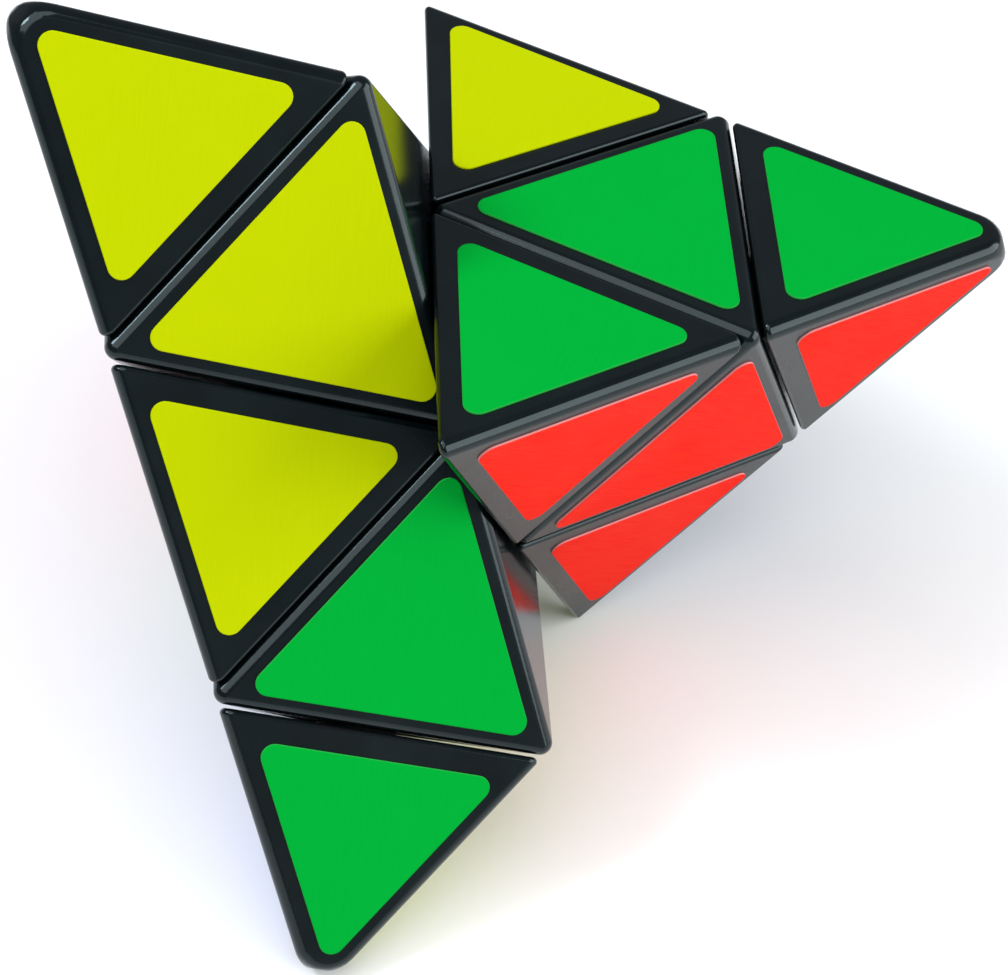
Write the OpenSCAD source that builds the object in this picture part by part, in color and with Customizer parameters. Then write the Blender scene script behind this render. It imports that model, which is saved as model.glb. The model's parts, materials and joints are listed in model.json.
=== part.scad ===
// Pyramid twisty puzzle: four corner layers that turn about a four-armed core, with a tip on
// each corner that turns on its own. One corner layer stands part way through a turn, and the
// puzzle lies on one edge of its base and on a corner of that turned layer.

/* [Pyramid] */
// Length of one side, measured over the rounded tips
side_over_tips = 98; // [90:1:130]
// Angle by which the turned corner layer has left its solved place
corner_turn = 52.7; // [5:0.1:60]
// Half of the gap between two neighbouring pieces
half_gap = 0.15; // [0.1:0.05:0.4]
// Rounding of the pieces' edges
edge_round = 1.2; // [0.8:0.1:1.6]
// Rounding of the edges that a tip or an edge piece turns past a neighbour
rub_round = 0.45; // [0.3:0.05:0.8]
// Rounding of the four outermost points, seen square to a face
point_round = 3.4; // [2.5:0.1:4.5]

/* [Shells] */
// Wall of the hollow pieces
wall = 2; // [1.6:0.1:2.4]
// Thickness of the plates that close the tips and the axials
plate = 2; // [1.5:0.1:3]
// Gap around a plate in its seat
seat_gap = 0.04; // [0.02:0.01:0.1]

/* [Stickers] */
// Thickness of a sticker
sticker_thick = 0.2; // [0.1:0.05:0.4]
// Radius of a sticker's corners
sticker_round = 1.3; // [0.8:0.1:2]
// Border left around the sticker on a tip
tip_border = 2.9; // [2:0.1:4]
// Border left around the sticker on an axial
axial_border = 1.7; // [1.5:0.05:3]
// Border left around the sticker on an edge piece
edge_border = 2.75; // [2:0.05:4]

/* [Core] */
// Radius of the core's ball
ball_r = 6.5; // [6:0.1:6.6]
// Radius of the four bosses that the axials turn on
boss_r = 3; // [2.6:0.1:3.1]
// Distance from the core's centre to a boss's end
boss_end = 11.6; // [11:0.1:12]
// Radial clearance of the turning fits
run_gap = 0.05; // [0.03:0.01:0.08]
// Radius of the spherical undercut in the axials, which holds the edge pieces' feet
undercut_r = 16; // [15.8:0.05:16.2]
// Clearance between an edge piece's foot and the pieces that it slides on
foot_gap = 0.25; // [0.2:0.05:0.3]

/* [Fasteners] */
// Radius of the screw's shank
shank_r = 1.25; // [1:0.05:1.4]
// Length of the screw under its head
screw_len = 16; // [15:0.5:17]
// Radius of the screw's head
head_r = 2.9; // [2.5:0.1:3.1]
// Thickness of the screw's head
head_h = 1.6; // [1.2:0.1:2]
// Thickness of the washer under the head
washer_h = 0.5; // [0.4:0.1:0.8]
// Radius of the spring's wire
wire_r = 0.3; // [0.2:0.05:0.35]
// Turns of the spring
spring_turns = 5; // [3:1:6]

/* [Snap peg] */
// Radius of the tip's peg
peg_r = 4; // [3.8:0.1:4.1]
// Length of the peg below the tip
peg_len = 11; // [10:0.5:11.5]
// Height by which the peg's bead stands proud
bead = 0.35; // [0.2:0.05:0.4]

/* [Hidden] */
$fn = 64;
CORNERS = ["turned", "upper", "near", "far"];
TIPS = [0, 1, 2, 3];
// Edge pieces: name, the corner that they are placed from, and the spin about it
EDGES = [
  ["turned_first", 0, 0], ["turned_second", 0, 120], ["turned_third", 0, 240],
  ["upper_near", 1, 240], ["far_upper", 1, 120], ["near_far", 2, 0]
];
// Sticker colours. Each piece's letters are for the faces opposite corners 0, 1, 2 and 3
AXIAL_COLOURS = ["-BGR", "R-BY", "BY-G", "RYG-"];
EDGE_COLOURS = ["--GR", "-B-R", "-GY-", "R--Y", "B-Y-", "GB--"];
EDGE_CORNERS = [[0, 1], [0, 2], [0, 3], [1, 2], [1, 3], [2, 3]];
COLOUR_LETTERS = ["Y", "G", "R", "B"];
COLOUR_NAMES = ["yellow", "green", "red", "blue"];
COLOUR_VALUES = [[0.77, 0.85, 0], [0, 0.63, 0.2], [0.9, 0.1, 0.08], [0.02, 0.2, 0.7]];
black = [0.06, 0.06, 0.08];
steel = [0.7, 0.71, 0.73];

// Small-triangle side: three of them make the sharp pyramid's side
point_in = point_round - edge_round;
rounding_loss = 2 * (sqrt(6) * (half_gap + edge_round) + point_in / sqrt(3) - edge_round);
unit = (side_over_tips + rounding_loss) / 3;
tetra_in = unit * sqrt(6) / 12;
octa_in = unit / sqrt(6);
corner_r = 9 * tetra_in;
tip_z = 5 * tetra_in;
base_z = 3 * tetra_in;

// Inside the undercut an edge piece spreads into its foot, which stays above this plane of
// each of its two layers, at whatever angle they stand
foot_plane = 0.39 * undercut_r;
foot_out_r = undercut_r - foot_gap;
split_r = undercut_r + wall;

// Heights along a corner's axis, from the core's centre
boss_z = 5;
stem_z = ball_r + 0.7;
web_z = boss_end + 0.2;
pocket_z = web_z + 1.8;
head_z = boss_end + 9.4;
washer_z = head_z - washer_h;
screw_z = head_z - screw_len;
collar_z = tip_z - half_gap - 12;
pocket_r = 3.6;
tube_r = 5.6;

function unit_vec(v) = v / norm(v);
function mean(points) = [for (i = [0:2]) [for (p = points) p[i]] * [for (p = points) 1 / len(points)]];
function inset(points, depth, inradius) =
  let (c = mean(points)) [for (p = points) c + (p - c) * (1 - depth / inradius)];
function corner_dir(k) =
  k == 0 ? [0, 0, 1] : [cos(120 * k - 120) * sqrt(8) / 3, sin(120 * k - 120) * sqrt(8) / 3, -1 / 3];
function corner(k) = corner_r * corner_dir(k);
function third(i, j) = (2 * corner(i) + corner(j)) / 3;
function face_centre(k) = -corner(k) / 3;
function others(k) = [for (j = [0:3]) if (j != k) j];
function tip_points(k) = concat([corner(k)], [for (j = others(k)) third(k, j)]);
function axial_points(k) =
  concat([for (j = others(k)) third(k, j)], [for (j = others(k)) face_centre(j)]);
function edge_points(i, j) =
  concat([third(i, j), third(j, i)], [for (k = others(i)) if (k != j) face_centre(k)]);

// Centres and radii of the spheres whose hull is a rounded piece
function with_radius(points, r) = [for (p = points) [p, r]];
// On each face of a tip an arc of these centres rounds the outermost point
function arc_point(top, a, b, turn) =
  let (to_a = unit_vec(a - top), to_b = unit_vec(b - top))
  top + point_in * ((2 - cos(turn)) * unit_vec(to_a + to_b) + sin(turn) * unit_vec(to_b - to_a));
// The end of a rounded outer edge, where it meets the plane of a cut at this height
function between(a, b, t) = let (w = acos(a * b)) (sin((1 - t) * w) * a + sin(t * w) * b) / sin(w);
function edge_end(start, along, face_a, face_b, cut, height) = [for (t = [0:0.25:1])
  let (p = start + (edge_round - rub_round) * between(face_a, face_b, t))
  p + along * (height + half_gap + rub_round - p * cut) / (along * cut)];
function tip_balls(k) = let (p = tip_points(k), c = inset(p, half_gap + edge_round, tetra_in), j = others(k))
  concat(
    with_radius([for (i = [1:3]) c[0] + sqrt(3) * point_in * unit_vec(c[i] - c[0])], edge_round),
    with_radius([for (i = [1:3]) for (turn = [-30, 0, 30]) arc_point(c[0], c[i], c[i % 3 + 1], turn)], edge_round),
    with_radius([for (n = [0:2]) each edge_end(c[n + 1], unit_vec(p[0] - p[n + 1]),
      -corner_dir(j[(n + 1) % 3]), -corner_dir(j[(n + 2) % 3]), corner_dir(k), tip_z)], rub_round)
  );
function edge_line(i, j) =
  let (c = inset(edge_points(i, j), half_gap + edge_round, tetra_in)) [c[0], c[1]];
function edge_balls(i, j) = let (
    line = edge_line(i, j), along = unit_vec(line[1] - line[0]),
    m = [for (k = others(i)) if (k != j) k], a = -corner_dir(m[0]), b = -corner_dir(m[1]),
    inner = inset(edge_points(i, j), half_gap + rub_round, tetra_in))
  with_radius(concat(
    edge_end(line[0], along, a, b, corner_dir(j), tetra_in),
    edge_end(line[1], -along, a, b, corner_dir(i), tetra_in),
    [inner[2], inner[3]]
  ), rub_round);
function axial_balls(k) =
  with_radius(inset(axial_points(k), half_gap + edge_round, octa_in), edge_round);

// The lying pose: the rounding of a base edge, and the lowest end of an edge piece of the
// turned layer, touch the table
function turn_z(p, a) = [p.x * cos(a) - p.y * sin(a), p.x * sin(a) + p.y * cos(a), p.z];
rest_line = edge_line(2, 3);
along_edge = unit_vec(rest_line[1] - rest_line[0]);
rest_x = unit_vec(rest_line[0] - along_edge * (rest_line[0] * along_edge));
rest_y = cross(along_edge, rest_x);
rest_ends = [for (n = [5:9]) turn_z(edge_balls(0, 2)[n][0], corner_turn)];
// Normal of a plane that touches that rounding and a ball round c
function touching(c, side) = let (
    w = c - rest_line[0], x = w * rest_x, y = w * rest_y,
    turn = atan2(y, x) + side * acos((rub_round - edge_round) / norm([x, y])))
  cos(turn) * rest_x + sin(turn) * rest_y;
table_up = [for (c = rest_ends) for (side = [1, -1]) let (up = touching(c, side))
  if (up * rest_line[0] < 0 && min([for (q = rest_ends) up * (q - c)]) > -1e-6) up][0];
across_edge = cross(table_up, along_edge);
function lie(p) = [p * along_edge, p * across_edge, p * table_up];
lying_balls = [
  for (k = TIPS) for (b = concat(tip_balls(k), axial_balls(k)))
    [lie(k == 0 ? turn_z(b[0], corner_turn) : b[0]), b[1]],
  for (e = EDGE_CORNERS) for (b = edge_balls(e[0], e[1]))
    [lie(e[0] == 0 ? turn_z(b[0], corner_turn) : b[0]), b[1]]
];
low = [for (i = [0:2]) min([for (b = lying_balls) b[0][i] - b[1]])];
high = [for (i = [0:2]) max([for (b = lying_balls) b[0][i] + b[1]])];
origin = [(low.x + high.x) / 2, (low.y + high.y) / 2, low.z];

sticker_nodes = concat(
  [for (c = COLOUR_NAMES) str("stickers_base_", c)],
  [for (c = COLOUR_NAMES) str("stickers_turned_", c)],
  [for (k = TIPS) for (c = [0:3]) if (len(search(COLOUR_LETTERS[c], AXIAL_COLOURS[k])) > 0)
    str("sticker_tip_", CORNERS[k], "_", COLOUR_NAMES[c])]
);

// Puts the whole puzzle down on the table
module laid() {
  multmatrix([
    [along_edge.x, along_edge.y, along_edge.z, -origin.x],
    [across_edge.x, across_edge.y, across_edge.z, -origin.y],
    [table_up.x, table_up.y, table_up.z, -origin.z]
  ]) children();
}

// Turns what belongs to the turned layer
module layer(turned) {
  rotate([0, 0, turned ? corner_turn : 0]) children();
}

// Moves a piece made at corner 0 to corner k
module at_corner(k) {
  laid() layer(k == 0) rotate(a = k == 0 ? 0 : 180, v = corner_dir(0) + corner_dir(k)) children();
}

module at_edge(e) {
  at_corner(e[1]) rotate([0, 0, e[2]]) children();
}

module toward(direction) {
  rotate([0, acos(direction.z), atan2(direction.y, direction.x)]) children();
}

module rounded(balls) {
  hull() for (b = balls) translate(b[0]) sphere(r = b[1], $fn = b[1] < 1 ? 12 : 16);
}

// Flat-faced solid of a piece's own shape, set in from its faces
module flat_sided(points, depth, inradius) {
  hull() polyhedron(points = inset(points, depth, inradius), faces = len(points) == 4
    ? [[0, 1, 2], [0, 2, 3], [0, 3, 1], [1, 3, 2]]
    : [[0, 1, 2], [3, 5, 4], [0, 2, 4], [0, 4, 5], [0, 5, 1], [1, 5, 3], [1, 3, 2], [2, 3, 4]]);
}

module tube(r_in, r_out, z0, z1) {
  translate([0, 0, z0]) difference() {
    cylinder(r = r_out, h = z1 - z0);
    translate([0, 0, -1]) cylinder(r = r_in, h = z1 - z0 + 2);
  }
}

// Triangle across a corner's axis, by the distance from its middle to its sides
module triangle(in_r) {
  circle(r = 2 * in_r, $fn = 3);
}

// Core: a ball with a boss towards each corner, bored for the screws
module core() {
  color(black) laid() difference() {
    union() {
      sphere(r = ball_r);
      for (k = TIPS) toward(corner_dir(k)) translate([0, 0, boss_z])
        cylinder(r = boss_r, h = boss_end - boss_z);
    }
    for (k = TIPS) toward(corner_dir(k)) translate([0, 0, screw_z - 0.5])
      cylinder(r = shank_r + 0.02, h = boss_end);
  }
}

module screw() {
  slot = 0.7;
  difference() {
    union() {
      translate([0, 0, screw_z]) cylinder(r = shank_r, h = screw_len + 0.2);
      translate([0, 0, head_z]) cylinder(r = head_r, h = head_h);
    }
    for (a = [0, 90]) rotate([0, 0, a])
      translate([-1.8, -slot / 2, head_z + head_h - 0.9]) cube([3.6, slot, 2]);
  }
}

module screws() {
  color(steel) laid() for (k = TIPS) toward(corner_dir(k)) screw();
}

module washers() {
  color(steel) laid() for (k = TIPS) toward(corner_dir(k))
    tube(shank_r + 0.1, head_r + 0.3, washer_z, head_z - 0.02);
}

// Coil spring between the axial's web and the washer
module spring() {
  sides = 6;
  per_turn = 14;
  coil_r = 2.5;
  z0 = pocket_z + wire_r + 0.05;
  z1 = washer_z - wire_r - 0.05;
  rings = spring_turns * per_turn;
  points = [for (i = [0:rings]) let (a = 360 * i / per_turn) for (s = [0:sides - 1])
    let (b = 360 * s / sides, r = coil_r + wire_r * cos(b))
      [r * cos(a), r * sin(a), z0 + (z1 - z0) * i / rings + wire_r * sin(b)]];
  skin = [for (i = [0:rings - 1]) for (s = [0:sides - 1]) let (t = (s + 1) % sides)
    [i * sides + s, (i + 1) * sides + s, (i + 1) * sides + t, i * sides + t]];
  polyhedron(points = points, faces = concat(skin,
    [[for (s = [0:sides - 1]) s], [for (s = [sides - 1:-1:0]) rings * sides + s]]));
}

module springs() {
  color(steel) laid() for (k = TIPS) toward(corner_dir(k)) spring();
}

// Opening at the top of an axial's shell, which its cap closes
module cap_outline(gap) {
  triangle(unit / (2 * sqrt(3)) - edge_round - half_gap - wall - gap);
}

// Octahedral shell of an axial, with the stem that turns on the core's boss
module axial_shell(k) {
  color(black) at_corner(k) difference() {
    union() {
      difference() {
        rounded(axial_balls(0));
        hull() sphere(r = undercut_r, $fn = 40);
        difference() {
          flat_sided(axial_points(0), half_gap + wall, octa_in);
          hull() sphere(r = undercut_r + wall, $fn = 24);
        }
        translate([0, 0, collar_z]) linear_extrude(20) cap_outline(0);
      }
      translate([0, 0, stem_z]) cylinder(r = tube_r, h = collar_z - stem_z);
    }
    cylinder(r = boss_r + run_gap, h = web_z);
    cylinder(r = shank_r + 0.35, h = collar_z);
    translate([0, 0, pocket_z]) cylinder(r = pocket_r, h = 30);
  }
}

// Plate that closes an axial's shell, with the collar that holds the tip's peg
module axial_cap(k) {
  top = tip_z - half_gap;
  color(black) at_corner(k) difference() {
    union() {
      translate([0, 0, top - plate]) linear_extrude(plate) cap_outline(seat_gap);
      translate([0, 0, collar_z + 0.02]) cylinder(r = tube_r, h = top - plate - collar_z);
    }
    rotate_extrude() polygon([
      [0, 0], [peg_r + run_gap, 0], [peg_r + run_gap, top - 9],
      [peg_r + bead + 0.15, top - 8.5], [peg_r + bead + 0.15, top - 7.5],
      [peg_r + run_gap, top - 7], [peg_r + run_gap, top + 1], [0, top + 1]
    ]);
  }
}

// Hollow shape inside a tip, open towards the puzzle
module tip_hollow(gap) {
  hull() polyhedron(points = [for (p = inset(tip_points(0), half_gap + wall + gap, tetra_in))
      p - (p.z < tip_z + 3 ? [0, 0, p.z - tip_z] : [0, 0, 0])],
    faces = [[0, 1, 2], [0, 2, 3], [0, 3, 1], [1, 3, 2]]);
}

module tip_shell(k) {
  color(black) at_corner(k) difference() {
    rounded(tip_balls(0));
    tip_hollow(0);
  }
}

// Plate that closes a tip, with the split peg that snaps into the axial's cap
module tip_plug(k) {
  bottom = tip_z + half_gap;
  end = tip_z - half_gap - peg_len;
  color(black) at_corner(k) {
    intersection() {
      tip_hollow(seat_gap);
      translate([0, 0, bottom]) cylinder(r = 2 * unit, h = plate);
    }
    difference() {
      rotate_extrude() polygon([
        [0, end], [peg_r - 0.5, end], [peg_r, end + 0.6], [peg_r, bottom - half_gap * 2 - 8.9],
        [peg_r + bead, bottom - half_gap * 2 - 8.4], [peg_r + bead, bottom - half_gap * 2 - 7.6],
        [peg_r, bottom - half_gap * 2 - 7.1], [peg_r, bottom + 0.5], [0, bottom + 0.5]
      ]);
      translate([0, 0, end - 1]) cylinder(r = peg_r - 1.4, h = peg_len - 1);
      for (a = [0, 90]) rotate([0, 0, a]) translate([-8, -0.5, end - 1]) cube([16, 1, peg_len - 2]);
    }
  }
}

module edge_shell(e) {
  color(black) at_edge(e) difference() {
    rounded(edge_balls(0, 1));
    flat_sided(edge_points(0, 1), half_gap + wall, tetra_in);
    sphere(r = split_r + seat_gap);
  }
}

// Foot of an edge piece: a wedge held under the axials' undercut, with the neck and the block
// that the edge piece's shell sits on
module edge_foot(e) {
  color(black) at_edge(e) {
    intersection() {
      rounded(edge_balls(0, 1));
      sphere(r = split_r);
    }
    intersection() {
      flat_sided(edge_points(0, 1), half_gap + wall + seat_gap, tetra_in);
      sphere(r = split_r + 4);
    }
    intersection() {
      flat_sided(edge_points(0, 1), foot_plane - tetra_in, tetra_in);
      sphere(r = foot_out_r);
    }
  }
}

// Sticker on the small triangle with these corners, on the face opposite corner m
module sticker(cell, m, border) {
  middle = mean(cell);
  x_dir = unit_vec(cell[0] - middle);
  z_dir = -corner_dir(m);
  y_dir = cross(z_dir, x_dir);
  base = middle - z_dir * half_gap;
  reach = unit / sqrt(3) - 2 * (border + sticker_round);
  multmatrix([
    [x_dir.x, y_dir.x, z_dir.x, base.x],
    [x_dir.y, y_dir.y, z_dir.y, base.y],
    [x_dir.z, y_dir.z, z_dir.z, base.z]
  ]) linear_extrude(sticker_thick) hull()
    for (a = [0, 120, 240]) rotate([0, 0, a]) translate([reach, 0]) circle(r = sticker_round, $fn = 24);
}

// A corner's stickers of one colour: on the tip, or on the axial
module corner_stickers(k, letter, on_tip) {
  laid() layer(k == 0) for (m = others(k)) if (AXIAL_COLOURS[k][m] == letter) {
    pair = [for (j = others(k)) if (j != m) j];
    if (on_tip) sticker([corner(k), third(k, pair[0]), third(k, pair[1])], m, tip_border);
    else sticker([face_centre(m), third(k, pair[0]), third(k, pair[1])], m, axial_border);
  }
}

module edge_stickers(n, letter) {
  i = EDGE_CORNERS[n][0];
  j = EDGE_CORNERS[n][1];
  laid() layer(i == 0) for (m = [0:3]) if (EDGE_COLOURS[n][m] == letter)
    sticker([face_centre(m), third(i, j), third(j, i)], m, edge_border);
}

module tip_sticker(k, c) {
  color(COLOUR_VALUES[c]) corner_stickers(k, COLOUR_LETTERS[c], true);
}

// All stickers of one colour on the turned layer, or on the rest
module layer_stickers(turned, c) {
  color(COLOUR_VALUES[c]) {
    for (k = TIPS) if ((k == 0) == turned) corner_stickers(k, COLOUR_LETTERS[c], false);
    for (n = [0:5]) if ((EDGE_CORNERS[n][0] == 0) == turned) edge_stickers(n, COLOUR_LETTERS[c]);
  }
}

core();
screws();
springs();
washers();
for (k = TIPS) {
  axial_shell(k);
  axial_cap(k);
  tip_shell(k);
  tip_plug(k);
}
for (e = EDGES) {
  edge_shell(e);
  edge_foot(e);
}
for (c = [0:3]) {
  layer_stickers(false, c);
  layer_stickers(true, c);
  for (k = TIPS)
    tip_sticker(k, c);
}
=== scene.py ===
import json
import math
import random
from itertools import combinations

import bmesh
import bpy
from mathutils import Matrix, Vector


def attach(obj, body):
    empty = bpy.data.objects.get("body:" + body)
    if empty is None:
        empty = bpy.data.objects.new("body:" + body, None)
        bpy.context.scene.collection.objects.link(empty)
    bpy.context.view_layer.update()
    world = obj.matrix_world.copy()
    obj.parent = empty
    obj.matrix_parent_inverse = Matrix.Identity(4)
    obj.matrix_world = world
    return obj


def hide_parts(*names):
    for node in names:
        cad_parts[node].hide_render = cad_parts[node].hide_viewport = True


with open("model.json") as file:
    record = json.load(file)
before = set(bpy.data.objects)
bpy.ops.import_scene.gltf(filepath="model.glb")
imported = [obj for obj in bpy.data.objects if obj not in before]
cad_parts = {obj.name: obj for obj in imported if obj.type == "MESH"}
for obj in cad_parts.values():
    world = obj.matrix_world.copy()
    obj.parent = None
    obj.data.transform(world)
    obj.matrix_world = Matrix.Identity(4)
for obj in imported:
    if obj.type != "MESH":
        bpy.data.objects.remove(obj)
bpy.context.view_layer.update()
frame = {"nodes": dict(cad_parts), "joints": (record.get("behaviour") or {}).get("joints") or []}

MM = 0.001

# The camera: where it stands about the core, and where its axis passes the core
CAMERA_AZIMUTH = -97.41
CAMERA_ELEVATION = 50.5
CAMERA_ROLL = 4.5
CAMERA_DISTANCE = 298.1 * MM
CAMERA_AIM = (9.1 * MM, -11.35 * MM)
CAMERA_LENS = 107.3

# The pieces' shape, as in the CAD
HALF_GAP = 0.15 * MM
EDGE_ROUND = 1.2 * MM
RUB_ROUND = 0.45 * MM
POINT_ROUND = 3.4 * MM
WALL = 2.0 * MM
UNDERCUT_R = 16.0 * MM
SEAT_GAP = 0.04 * MM
# An axial's stem, bore, screw hole and pocket, by distance from the core's centre
STEM_START = 7.2 * MM
STEM_R = 5.6 * MM
BORE_R = 3.05 * MM
WEB_START = 11.8 * MM
SCREW_HOLE_R = 1.6 * MM
POCKET_START = 13.6 * MM
POCKET_R = 3.6 * MM
POCKET_END = 40 * MM
# How far below the tip the stem ends, and the opening for the cap about the tip's plane
COLLAR_DEPTH = 12 * MM
OPENING = (-12.3 * MM, 3 * MM)

# Fineness of the meshes
ARC_STEPS = 8
LATHE_STEPS = 64
BALL_RINGS = 48
BALL_STEPS = 96
CORNER_STEPS = 8
SAME_FACE = math.radians(0.2)
ON_PLANE = 0.001 * MM
NO_AREA = 1e-12
FACING_OUT = 0.98

# Stickers: size, rim (height, and how far the outline is drawn in there), and hand-laid places
STICKER_THICK = 0.2 * MM
STICKER_ROUND = 1.3 * MM
STICKER_RIM = ((0.0, 0.0), (STICKER_THICK * 0.6, 0.0), (STICKER_THICK * 0.9, 0.03 * MM),
               (STICKER_THICK, 0.1 * MM))
RIM_UPRIGHT = 0.5
STICKER_TURN = 0.25
STICKER_SHIFT = 0.07
GRAIN_SPAN = 100 * MM
GRAIN_TURN = {"Y": 69, "G": 69, "R": 114, "B": 114}
TIP_BORDER = 2.9 * MM
AXIAL_BORDER = 1.7 * MM
EDGE_BORDER = 2.75 * MM
COLOURS = {"Y": "yellow", "G": "green", "R": "red", "B": "blue"}
# Each piece's stickers, one letter for the face opposite each corner
AXIAL_COLOURS = ("-BGR", "R-BY", "BY-G", "RYG-")
EDGE_COLOURS = ("--GR", "-B-R", "-GY-", "R--Y", "B-Y-", "GB--")
CORNERS = ("turned", "upper", "near", "far")
EDGES = ("turned_first", "turned_second", "turned_third", "upper_near", "far_upper", "near_far")
EDGE_CORNERS = ((0, 1), (0, 2), (0, 3), (1, 2), (1, 3), (2, 3))

# Surfaces: the plastic's colours and roughness, and the films' colour, the colour and the
# strength of their fine lines, and how pale their cut rim is (partly the film's pale cut
# edge, partly a painted highlight)
PLASTIC = (0.0015, 0.003, 0.0036)
PLASTIC_ROUGH = 0.27
RUBBED_ROUGH = 0.13
INNER_PLASTIC = (0.0045, 0.0045, 0.005)
INNER_ROUGH = 0.5
GLOSS = 0.36
GLOSS_TINT = (0.8, 1.0, 1.03)
FILM_GLOSS = 0.02
FILMS = {
    "Y": ((0.41, 0.49, 0.0), (0.55, 0.57, 0.0), 0.1, 0.0),
    "G": ((0.0, 0.315, 0.028), (0.0, 0.42, 0.07), 0.06, 0.04),
    "R": ((0.8, 0.003, 0.001), (0.85, 0.04, 0.01), 0.6, 0.45),
    "B": ((0.002, 0.045, 0.35), (0.01, 0.1, 0.42), 0.1, 0.04),
}
# Grey that a sticker's cut rim is mixed toward: partly the film's pale cut edge, partly a painted highlight,
# strongest on red
RIM_PALE_AND_HIGHLIGHT = 0.6
METALS = {
    "screws": ("screw_steel", (0.55, 0.56, 0.58), 0.3),
    "springs": ("spring_steel", (0.45, 0.46, 0.48), 0.35),
    "washers": ("washer_steel", (0.6, 0.6, 0.62), 0.3),
}
FLOOR_SIZE = 3
FLOOR_PALE = (0.86, 0.86, 0.86)
FLOOR_PALEST = (0.9, 0.9, 0.9)

# Area lights: name, azimuth, elevation, distance, size, power and colour
LIGHTS = (
    ("key", 178, 52, 0.9, (0.26, 0.26), 4.4, (0.84, 0.92, 1.0)),
    ("fill", -125, 70, 1.3, (1.4, 1.4), 14.5, (1.0, 1.0, 1.0)),
    ("front", -14, 22, 1.3, (1.5, 0.9), 17.0, (1.0, 1.0, 1.0)),
)
WORLD_COLOUR = (0.85, 0.92, 1.0)
WORLD_STRENGTH = 0.3


# ---- where things are, from the frame ----

joints = {j["name"]: j for j in frame["joints"]}
core = Vector(joints["corner_turn"]["pos_m"])
solved_dirs = [Vector(joints["tip_turn_" + name]["axis"]).normalized() for name in CORNERS]
tip_plane = (Vector(joints["tip_turn_turned"]["pos_m"]) - core).length
tetra_in = tip_plane / 5
unit = tetra_in * 12 / math.sqrt(6)
octa_in = unit / math.sqrt(6)


def node_middle(node):
    points = [v.co for v in frame["nodes"][node].data.vertices]
    return sum(points, Vector()) / len(points)


def turned_directions():
    """Corner directions as the turned layer carries them."""
    axis = solved_dirs[0]
    found = node_middle("edge_shell_turned_first") - core
    found -= axis * found.dot(axis)
    solved = solved_dirs[1] - axis * solved_dirs[1].dot(axis)
    angle = math.atan2(axis.dot(solved.cross(found)), solved.dot(found))
    turn = Matrix.Rotation(angle, 3, axis)
    return [turn @ d for d in solved_dirs]


turned_dirs = turned_directions()


def dirs_of(corner):
    return turned_dirs if corner == 0 else solved_dirs


def body_of(corner):
    return "turned_layer" if corner == 0 else "base"


def corner_point(dirs, k):
    return dirs[k] * 9 * tetra_in


def third(dirs, i, j):
    return (2 * corner_point(dirs, i) + corner_point(dirs, j)) / 3


def face_centre(dirs, k):
    return -corner_point(dirs, k) / 3


def others(*corners):
    return [j for j in range(4) if j not in corners]


def tip_points(dirs, k):
    return [corner_point(dirs, k)] + [third(dirs, k, j) for j in others(k)]


def axial_points(dirs, k):
    return [third(dirs, k, j) for j in others(k)] + [face_centre(dirs, j) for j in others(k)]


def edge_points(dirs, i, j):
    return [third(dirs, i, j), third(dirs, j, i)] + [face_centre(dirs, k) for k in others(i, j)]


def mean(points):
    return sum(points, Vector()) / len(points)


def inset(points, depth, inradius):
    middle = mean(points)
    return [middle + (p - middle) * (1 - depth / inradius) for p in points]


# ---- meshes ----

def new_object(name, mesh):
    piece = bpy.data.objects.new(name, mesh)
    bpy.context.scene.collection.objects.link(piece)
    return piece


def mesh_of(bm, name):
    mesh = bpy.data.meshes.new(name)
    bm.to_mesh(mesh)
    bm.free()
    return mesh


def hull_mesh(points, name):
    """The convex hull of the points, with its flat faces whole."""
    bm = bmesh.new()
    for p in points:
        bm.verts.new(p)
    made = bmesh.ops.convex_hull(bm, input=bm.verts, use_existing_faces=False)
    spare = [g for g in made["geom_interior"] + made["geom_unused"] if isinstance(g, bmesh.types.BMVert)]
    bmesh.ops.delete(bm, geom=list(set(spare)), context="VERTS")
    bmesh.ops.dissolve_limit(bm, angle_limit=SAME_FACE, verts=bm.verts, edges=bm.edges)
    bmesh.ops.recalc_face_normals(bm, faces=bm.faces)
    return mesh_of(bm, name)


def hull_planes(points):
    """Outward normals of the faces of a convex solid, and which points each face holds."""
    middle = mean(points)
    faces = {}
    for a, b, c in combinations(range(len(points)), 3):
        normal = (points[b] - points[a]).cross(points[c] - points[a])
        if normal.length < NO_AREA:
            continue
        normal.normalize()
        if normal.dot(points[a] - middle) < 0:
            normal = -normal
        heights = [normal.dot(p - points[a]) for p in points]
        if max(heights) < ON_PLANE:
            on = tuple(n for n, h in enumerate(heights) if h > -ON_PLANE)
            faces[on] = normal
    return faces


def arc_directions(normals):
    """Directions that fill the corner between a vertex's face normals, its arcs included."""
    found = []
    for a, b, c in combinations(normals, 3):
        for i in range(ARC_STEPS + 1):
            for j in range(ARC_STEPS + 1 - i):
                mix = a * i + b * j + c * (ARC_STEPS - i - j)
                found.append(mix.normalized())
    return found


def ball_cloud(balls):
    """Points on balls, each given by its centre, its radius and the normals around it."""
    return [core + centre + d * radius for centre, radius, normals in balls for d in arc_directions(normals)]


def axial_mesh(points):
    """An octahedron with one rounding on all edges."""
    faces = hull_planes(points)
    centres = inset(points, HALF_GAP + EDGE_ROUND, octa_in)
    return hull_mesh(ball_cloud([(centre, EDGE_ROUND, [normal for on, normal in faces.items() if n in on])
                                 for n, centre in enumerate(centres)]), "axial")


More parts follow.
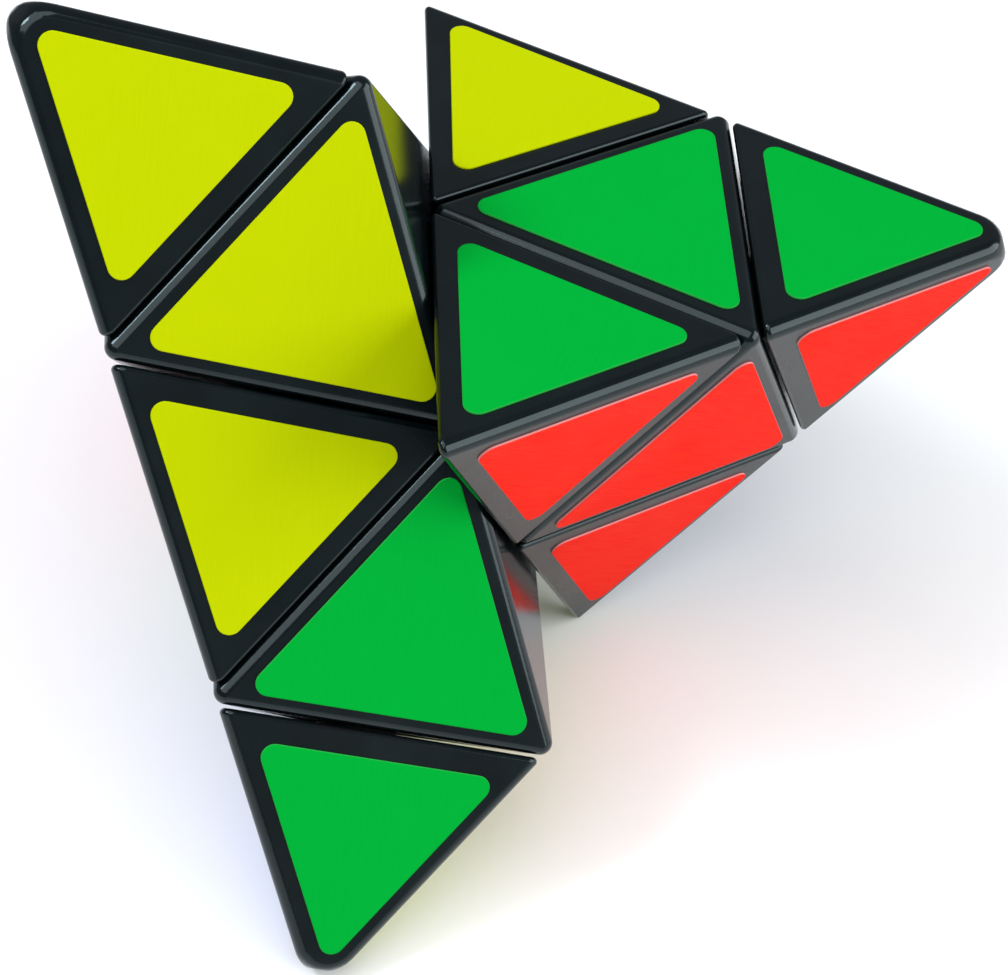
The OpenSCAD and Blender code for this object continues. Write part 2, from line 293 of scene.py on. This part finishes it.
def edge_end(start, along, face_a, face_b, cut, height):
    """The end of a rounded outer edge, where it meets the plane of a cut with a smaller rounding."""
    angle = face_a.angle(face_b)
    balls = []
    for s in range(ARC_STEPS + 1):
        t = s / ARC_STEPS
        out = (math.sin((1 - t) * angle) * face_a + math.sin(t * angle) * face_b) / math.sin(angle)
        p = start + (EDGE_ROUND - RUB_ROUND) * out
        p = p + along * (height + HALF_GAP + RUB_ROUND - p.dot(cut)) / along.dot(cut)
        balls.append((p, RUB_ROUND, [out, face_a, face_b, -cut]))
    return balls


def tip_mesh(dirs, k):
    points = tip_points(dirs, k)
    centres = inset(points, HALF_GAP + EDGE_ROUND, tetra_in)
    sides = [-dirs[m] for m in others(k)]
    balls = [(p, EDGE_ROUND, sides) for p in point_centres(centres)]
    for n in range(3):
        balls += edge_end(centres[n + 1], (points[0] - points[n + 1]).normalized(),
                          sides[(n + 1) % 3], sides[(n + 2) % 3], dirs[k], tip_plane)
    return hull_mesh(ball_cloud(balls), "tip")


def edge_mesh(dirs, i, j):
    points = edge_points(dirs, i, j)
    line = inset(points, HALF_GAP + EDGE_ROUND, tetra_in)
    inner = inset(points, HALF_GAP + RUB_ROUND, tetra_in)
    along = (line[1] - line[0]).normalized()
    a, b = (-dirs[m] for m in others(i, j))
    balls = edge_end(line[0], along, a, b, dirs[j], tetra_in)
    balls += edge_end(line[1], -along, a, b, dirs[i], tetra_in)
    balls += [(inner[2], RUB_ROUND, [a, -dirs[i], -dirs[j]]), (inner[3], RUB_ROUND, [b, -dirs[i], -dirs[j]])]
    return hull_mesh(ball_cloud(balls), "edge")


def point_centres(centres):
    """An arc on each face, between the edges that meet in the first corner."""
    top = centres[0]
    radius = POINT_ROUND - EDGE_ROUND
    found = []
    for a, b in combinations(centres[1:], 2):
        to_a, to_b = (a - top).normalized(), (b - top).normalized()
        inward, across = (to_a + to_b).normalized(), (to_b - to_a).normalized()
        for s in range(ARC_STEPS + 1):
            turn = math.radians(120 * s / ARC_STEPS - 60)
            found.append(top + radius * ((2 - math.cos(turn)) * inward + math.sin(turn) * across))
    return found


def lathe_solid(axis, rings, steps=LATHE_STEPS):
    """A closed solid of revolution about an axis from the core, by (distance, radius) rings."""
    side = axis.orthogonal().normalized()
    across = axis.cross(side)
    bm = bmesh.new()
    loops = []
    for z, r in rings:
        loop = []
        for s in range(steps):
            a = 2 * math.pi * s / steps
            loop.append(bm.verts.new(core + axis * z + (side * math.cos(a) + across * math.sin(a)) * r))
        loops.append(loop)
    for low, high in zip(loops, loops[1:]):
        for s in range(steps):
            t = (s + 1) % steps
            bm.faces.new((low[s], low[t], high[t], high[s]))
    bm.faces.new(loops[0][::-1])
    bm.faces.new(loops[-1])
    bmesh.ops.recalc_face_normals(bm, faces=bm.faces)
    return mesh_of(bm, "lathe")


def ball_mesh(radius, pole):
    turns = [math.pi * s / BALL_RINGS for s in range(BALL_RINGS + 1)]
    rings = [(-radius * math.cos(a), max(radius * math.sin(a), radius / 500)) for a in turns]
    return lathe_solid(pole, rings, BALL_STEPS)


def prism_mesh(outline, low, high):
    """A solid from a flat outline, between two heights along its normal."""
    return hull_mesh([p + h for p in outline for h in (low, high)], "prism")


def combine(piece, mesh, operation):
    """Joins a mesh to the piece or cuts it away."""
    other = new_object("cutter", mesh)
    step = piece.modifiers.new("step", "BOOLEAN")
    step.operation = operation
    step.solver = "EXACT"
    step.object = other
    graph = bpy.context.evaluated_depsgraph_get()
    result = bpy.data.meshes.new_from_object(piece.evaluated_get(graph))
    piece.modifiers.clear()
    piece.data = result
    bpy.data.objects.remove(other)


def smooth(piece, angle=40):
    """Smooth shading that keeps flat faces flat."""
    mesh = piece.data
    mesh.shade_smooth()
    bm = bmesh.new()
    bm.from_mesh(mesh)
    for e in bm.edges:
        e.smooth = len(e.link_faces) == 2 and e.calc_face_angle(0) < math.radians(angle)
    bm.to_mesh(mesh)
    bm.free()
    weighted = piece.modifiers.new("flat faces", "WEIGHTED_NORMAL")
    weighted.keep_sharp = True
    weighted.weight = 100


# ---- materials ----

class Nodes:
    """Short calls for building a material's node tree."""

    def __init__(self, name):
        self.material = bpy.data.materials.new(name)
        self.material.use_nodes = True
        self.tree = self.material.node_tree
        self.tree.nodes.clear()
        self.shader = self.tree.nodes.new("ShaderNodeBsdfPrincipled")
        output = self.tree.nodes.new("ShaderNodeOutputMaterial")
        self.tree.links.new(self.shader.outputs[0], output.inputs["Surface"])
        self.coordinates = self.tree.nodes.new("ShaderNodeTexCoord").outputs
        self.place = self.coordinates["Object"]

    def link(self, source, target):
        self.tree.links.new(source, target)

    def set(self, **values):
        for name, value in values.items():
            self.shader.inputs[name.replace("_", " ")].default_value = value

    def noise(self, scale, detail=3.0, roughness=0.5, stretch=None):
        node = self.tree.nodes.new("ShaderNodeTexNoise")
        node.inputs["Scale"].default_value = scale
        node.inputs["Detail"].default_value = detail
        node.inputs["Roughness"].default_value = roughness
        where = self.place
        if stretch is not None:
            mapping = self.tree.nodes.new("ShaderNodeMapping")
            mapping.inputs["Scale"].default_value = stretch
            self.link(self.place, mapping.inputs["Vector"])
            where = mapping.outputs[0]
        self.link(where, node.inputs["Vector"])
        return node.outputs["Fac"]

    def ramp(self, source, stops):
        node = self.tree.nodes.new("ShaderNodeValToRGB")
        elements = node.color_ramp.elements
        while len(elements) < len(stops):
            elements.new(0.5)
        for element, (place, colour) in zip(elements, stops):
            element.position = place
            element.color = (*colour, 1) if len(colour) == 3 else colour
        self.link(source, node.inputs["Fac"])
        return node.outputs["Color"]

    def spread(self, source, low, high, from_low=0.3, from_high=0.7):
        node = self.tree.nodes.new("ShaderNodeMapRange")
        node.inputs["From Min"].default_value = from_low
        node.inputs["From Max"].default_value = from_high
        node.inputs["To Min"].default_value = low
        node.inputs["To Max"].default_value = high
        self.link(source, node.inputs["Value"])
        return node.outputs["Result"]

    def mix(self, factor, a, b):
        node = self.tree.nodes.new("ShaderNodeMix")
        node.data_type = "RGBA"
        self.link(factor, node.inputs["Factor"])
        for value, target in ((a, node.inputs["A"]), (b, node.inputs["B"])):
            if isinstance(value, tuple):
                target.default_value = (*value, 1)
            else:
                self.link(value, target)
        return node.outputs["Result"]

    def blend(self, factor, a, b):
        node = self.tree.nodes.new("ShaderNodeMix")
        for source, target in ((factor, node.inputs[0]), (a, node.inputs[2]), (b, node.inputs[3])):
            self.link(source, target)
        return node.outputs[0]

    def bump(self, height, distance, strength=1.0, normal=None):
        node = self.tree.nodes.new("ShaderNodeBump")
        node.inputs["Strength"].default_value = strength
        node.inputs["Distance"].default_value = distance
        self.link(height, node.inputs["Height"])
        if normal is not None:
            self.link(normal, node.inputs["Normal"])
        return node.outputs["Normal"]


def black_plastic(name, base, roughness, polished=None):
    """Moulded black plastic: a fine grain, faint mottling and smudges left by fingers.
    The faces that rub on a neighbour may be more polished, as their attribute says."""
    n = Nodes(name)
    mottle = n.noise(180, 4)
    dark = tuple(0.75 * c for c in base)
    light = tuple(1.5 * c for c in base)
    n.link(n.ramp(mottle, [(0.35, dark), (0.7, light)]), n.shader.inputs["Base Color"])
    smudge = n.noise(55, 5, 0.6)
    rough = n.spread(smudge, roughness * 0.85, roughness * 1.3)
    if polished:
        rubbed = n.tree.nodes.new("ShaderNodeAttribute")
        rubbed.attribute_name = "rubbed"
        rough = n.blend(rubbed.outputs["Fac"], rough, n.spread(smudge, polished * 0.8, polished * 1.3))
    n.link(rough, n.shader.inputs["Roughness"])
    grain = n.bump(n.noise(2600, 2), 0.012 * MM, 0.4)
    ripple = n.bump(n.noise(240, 2), 0.03 * MM, 0.3, grain)
    n.link(ripple, n.shader.inputs["Normal"])
    n.set(Specular_IOR_Level=GLOSS, Specular_Tint=(*GLOSS_TINT, 1))
    return n.material


def sticker_film(name, colour, sheen, brushed, pale_rim_and_highlight):
    """Vinyl film: even colour with faint cloudiness, fine lines along one direction, and a
    paler rim where it is cut, partly the film's pale cut edge and partly a painted highlight."""
    n = Nodes(name)
    n.place = n.coordinates["UV"]
    cloud = n.noise(9, 2)
    lines = n.noise(480, 3, 0.6, (0.04, 1, 1))
    dark = tuple(0.97 * c for c in colour)
    light = tuple(c + brushed * (s - c) for c, s in zip(colour, sheen))
    base = n.ramp(cloud, [(0.3, dark), (0.7, colour)])
    rim = n.tree.nodes.new("ShaderNodeAttribute")
    rim.attribute_name = "rim"
    film = n.mix(n.spread(lines, 0, 1), base, light)
    # Rim faces mixed toward pale grey: partly the film's pale cut edge, partly a painted highlight
    n.link(n.mix(rim.outputs["Fac"], film, tuple(c + pale_rim_and_highlight * (RIM_PALE_AND_HIGHLIGHT - c) for c in colour)),
           n.shader.inputs["Base Color"])
    n.link(n.spread(n.noise(6, 4), 0.4, 0.52), n.shader.inputs["Roughness"])
    peel = n.bump(n.noise(70, 2), 0.02 * MM, 0.25)
    n.link(n.bump(lines, 0.004 * MM, 0.2, peel), n.shader.inputs["Normal"])
    n.set(Specular_IOR_Level=FILM_GLOSS)
    return n.material


def metal(name, colour, roughness):
    n = Nodes(name)
    n.link(n.ramp(n.noise(500, 3), [(0.3, tuple(0.8 * c for c in colour)), (0.7, colour)]),
           n.shader.inputs["Base Color"])
    n.link(n.spread(n.noise(900, 3), roughness * 0.7, roughness * 1.3), n.shader.inputs["Roughness"])
    n.link(n.bump(n.noise(3000, 2), 0.01 * MM, 0.4), n.shader.inputs["Normal"])
    n.set(Metallic=1.0)
    return n.material


plastic = black_plastic("black_plastic", PLASTIC, PLASTIC_ROUGH, RUBBED_ROUGH)
inner = black_plastic("inner_plastic", INNER_PLASTIC, INNER_ROUGH)
films = {letter: sticker_film("sticker_" + COLOURS[letter], *film) for letter, film in FILMS.items()}


# ---- pieces ----

def finish_piece(piece, body, nodes, material):
    piece.data.materials.clear()
    piece.data.materials.append(material)
    for polygon in piece.data.polygons:
        polygon.material_index = 0
    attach(piece, body)
    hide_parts(*nodes)


def mark_rubbed(piece, outer):
    """Marks the faces and roundings that turn away from the outer faces' normals."""
    rubbed = piece.data.attributes.new("rubbed", "FLOAT", "FACE")
    for polygon in piece.data.polygons:
        facing = max(polygon.normal.dot(normal) for normal in outer)
        rubbed.data[polygon.index].value = 0.0 if facing > FACING_OUT else 1.0


def flat_sided(points, depth, inradius):
    return hull_mesh([core + p for p in inset(points, depth, inradius)], "flat sided")


def make_tip(k):
    dirs = dirs_of(k)
    points = tip_points(dirs, k)
    piece = new_object("tip_" + CORNERS[k], tip_mesh(dirs, k))
    hollow = inset(points, HALF_GAP + WALL, tetra_in)
    hollow[1:] = [p - dirs[k] * (p.dot(dirs[k]) - tip_plane) for p in hollow[1:]]
    combine(piece, hull_mesh([core + p for p in hollow], "hollow"), "DIFFERENCE")
    mark_rubbed(piece, [-dirs[m] for m in others(k)])
    smooth(piece)
    finish_piece(piece, "tip_" + CORNERS[k], ["tip_shell_" + CORNERS[k]], plastic)


def make_axial(k):
    dirs = dirs_of(k)
    axis = dirs[k]
    points = axial_points(dirs, k)
    piece = new_object("axial_" + CORNERS[k], axial_mesh(points))
    combine(piece, ball_mesh(UNDERCUT_R, axis), "DIFFERENCE")
    hollow = new_object("hollow", flat_sided(points, HALF_GAP + WALL, octa_in))
    combine(hollow, ball_mesh(UNDERCUT_R + WALL, axis), "DIFFERENCE")
    cut_in = unit / (2 * math.sqrt(3))
    cap_in = cut_in - EDGE_ROUND - HALF_GAP - WALL
    outline = [core + axis * tip_plane + (p - axis * p.dot(axis)) * cap_in / cut_in for p in points[:3]]
    opening = prism_mesh(outline, axis * OPENING[0], axis * OPENING[1])
    combine(hollow, opening, "UNION")
    combine(piece, hollow.data, "DIFFERENCE")
    bpy.data.objects.remove(hollow)
    collar = tip_plane - HALF_GAP - COLLAR_DEPTH
    combine(piece, lathe_solid(axis, [(STEM_START, STEM_R), (collar, STEM_R)]), "UNION")
    bore = [(0, BORE_R), (WEB_START, BORE_R), (WEB_START, SCREW_HOLE_R), (POCKET_START, SCREW_HOLE_R),
            (POCKET_START, POCKET_R), (POCKET_END, POCKET_R)]
    combine(piece, lathe_solid(axis, bore), "DIFFERENCE")
    mark_rubbed(piece, [-dirs[m] for m in others(k)])
    smooth(piece)
    finish_piece(piece, body_of(k), ["axial_shell_" + CORNERS[k]], plastic)


def make_edge(n):
    i, j = EDGE_CORNERS[n]
    dirs = dirs_of(i)
    points = edge_points(dirs, i, j)
    piece = new_object("edge_" + EDGES[n], edge_mesh(dirs, i, j))
    combine(piece, flat_sided(points, HALF_GAP + WALL, tetra_in), "DIFFERENCE")
    combine(piece, ball_mesh(UNDERCUT_R + WALL + SEAT_GAP, dirs[i]), "DIFFERENCE")
    mark_rubbed(piece, [-dirs[m] for m in others(i, j)])
    smooth(piece)
    finish_piece(piece, body_of(i), ["edge_shell_" + EDGES[n]], plastic)


placing = random.Random(7)


def make_sticker(name, cell, normal, upright, border, letter, body, node):
    """A film with rounded corners and a soft rim on the small triangle with these corners.
    Its grain runs at the colour's own angle from the upright direction of the face."""
    middle = mean(cell)
    x_dir = (cell[0] - middle).normalized()
    y_dir = normal.cross(x_dir)
    reach = unit / math.sqrt(3) - 2 * (border + STICKER_ROUND)
    turn = math.radians(placing.gauss(0, STICKER_TURN))
    shift = (placing.gauss(0, STICKER_SHIFT) * MM, placing.gauss(0, STICKER_SHIFT) * MM)
    third_turn = 2 * math.pi / 3
    outline = []
    for c in range(3):
        corner = Vector((math.cos(c * third_turn), math.sin(c * third_turn), 0)) * reach
        for s in range(CORNER_STEPS + 1):
            a = (c + s / CORNER_STEPS - 0.5) * third_turn
            outline.append((corner, Vector((math.cos(a), math.sin(a), 0))))
    bm = bmesh.new()
    loops = []
    for height, back in STICKER_RIM:
        loops.append([bm.verts.new(corner + out * (STICKER_ROUND - back) + Vector((0, 0, height)))
                      for corner, out in outline])
    count = len(outline)
    for low, high in zip(loops, loops[1:]):
        for s in range(count):
            t = (s + 1) % count
            bm.faces.new((low[s], low[t], high[t], high[s]))
    bm.faces.new(loops[0][::-1])
    bm.faces.new(loops[-1])
    mesh = mesh_of(bm, name)
    cut = mesh.attributes.new("rim", "FLOAT", "FACE")
    for polygon in mesh.polygons:
        cut.data[polygon.index].value = float(polygon.normal.z < RIM_UPRIGHT)
    place = Matrix((x_dir, y_dir, normal)).transposed().to_4x4()
    place.translation = core + middle - normal * HALF_GAP
    mesh.transform(place @ Matrix.Translation((*shift, 0)) @ Matrix.Rotation(turn, 4, "Z"))
    grain = mesh.uv_layers.new(name="grain")
    along = Matrix.Rotation(math.radians(GRAIN_TURN[letter]), 3, normal) @ upright
    across = normal.cross(along)
    start = Vector((placing.random(), placing.random()))
    for loop in mesh.loops:
        p = mesh.vertices[loop.vertex_index].co
        grain.data[loop.index].uv = Vector((p.dot(along), p.dot(across))) / GRAIN_SPAN + start
    piece = new_object(name, mesh)
    smooth(piece, 60)
    finish_piece(piece, body, [node], films[letter])


def upright(dirs, m):
    """Direction on a face from its middle to the first of its corners."""
    return (corner_point(dirs, others(m)[0]) - face_centre(dirs, m)).normalized()


def make_corner_stickers(k):
    dirs = dirs_of(k)
    for m in others(k):
        letter = AXIAL_COLOURS[k][m]
        colour = COLOURS[letter]
        pair = [third(dirs, k, j) for j in others(k, m)]
        layer = "turned" if k == 0 else "base"
        up = upright(dirs, m)
        make_sticker(f"sticker_on_tip_{CORNERS[k]}_{colour}", [corner_point(dirs, k)] + pair, -dirs[m], up,
                     TIP_BORDER, letter, "tip_" + CORNERS[k], f"sticker_tip_{CORNERS[k]}_{colour}")
        make_sticker(f"sticker_on_axial_{CORNERS[k]}_{colour}", [face_centre(dirs, m)] + pair, -dirs[m], up,
                     AXIAL_BORDER, letter, body_of(k), f"stickers_{layer}_{colour}")


def make_edge_stickers(n):
    i, j = EDGE_CORNERS[n]
    dirs = dirs_of(i)
    layer = "turned" if i == 0 else "base"
    for m in others(i, j):
        letter = EDGE_COLOURS[n][m]
        colour = COLOURS[letter]
        cell = [face_centre(dirs, m), third(dirs, i, j), third(dirs, j, i)]
        make_sticker(f"sticker_on_edge_{EDGES[n]}_{colour}", cell, -dirs[m], upright(dirs, m), EDGE_BORDER,
                     letter, body_of(i), f"stickers_{layer}_{colour}")


for k in range(4):
    make_tip(k)
    make_axial(k)
    make_corner_stickers(k)
for n in range(6):
    make_edge(n)
    make_edge_stickers(n)

metals = {node: metal(*look) for node, look in METALS.items()}
for name, node in frame["nodes"].items():
    if not node.hide_render:
        node.data.materials.clear()
        node.data.materials.append(metals.get(name, inner))


# ---- floor, light and camera ----

def make_floor():
    bm = bmesh.new()
    bmesh.ops.create_grid(bm, x_segments=1, y_segments=1, size=FLOOR_SIZE)
    floor = new_object("floor", mesh_of(bm, "floor"))
    n = Nodes("floor_paint")
    n.link(n.ramp(n.noise(8, 3), [(0.3, FLOOR_PALE), (0.7, FLOOR_PALEST)]), n.shader.inputs["Base Color"])
    n.set(Roughness=0.6)
    floor.data.materials.append(n.material)


def make_light(name, azimuth, elevation, distance, size, power, colour):
    """An area light that faces the puzzle. Azimuth 0 is towards -Y, as for the camera."""
    a, e = math.radians(azimuth), math.radians(elevation)
    toward = Vector((math.sin(a) * math.cos(e), -math.cos(a) * math.cos(e), math.sin(e)))
    data = bpy.data.lights.new(name, "AREA")
    data.shape = "RECTANGLE"
    data.size, data.size_y = size
    data.energy = power
    data.color = colour
    light = bpy.data.objects.new(name, data)
    bpy.context.scene.collection.objects.link(light)
    light.location = core + toward * distance
    light.rotation_euler = (-toward).to_track_quat("-Z", "Y").to_euler()


def make_camera():
    a, e = math.radians(CAMERA_AZIMUTH), math.radians(CAMERA_ELEVATION)
    back = Vector((math.sin(a) * math.cos(e), -math.cos(a) * math.cos(e), math.sin(e)))
    level = Vector((math.cos(a), math.sin(a), 0))
    roll = Matrix.Rotation(math.radians(CAMERA_ROLL), 3, back)
    right = roll @ level
    up = back.cross(right)
    camera = bpy.data.objects.new("camera", bpy.data.cameras.new("camera"))
    bpy.context.scene.collection.objects.link(camera)
    turn = Matrix((right, up, back)).transposed().to_4x4()
    turn.translation = core + right * CAMERA_AIM[0] + up * CAMERA_AIM[1] + back * CAMERA_DISTANCE
    camera.matrix_world = turn
    camera.data.lens = CAMERA_LENS
    camera.data.clip_start = 0.01
    bpy.context.scene.camera = camera


make_floor()
for light in LIGHTS:
    make_light(*light)
world = bpy.data.worlds.new("studio")
world.use_nodes = True
world.node_tree.nodes["Background"].inputs["Color"].default_value = (*WORLD_COLOUR, 1)
world.node_tree.nodes["Background"].inputs["Strength"].default_value = WORLD_STRENGTH
bpy.context.scene.world = world
bpy.context.scene.view_settings.view_transform = "Standard"
make_camera()
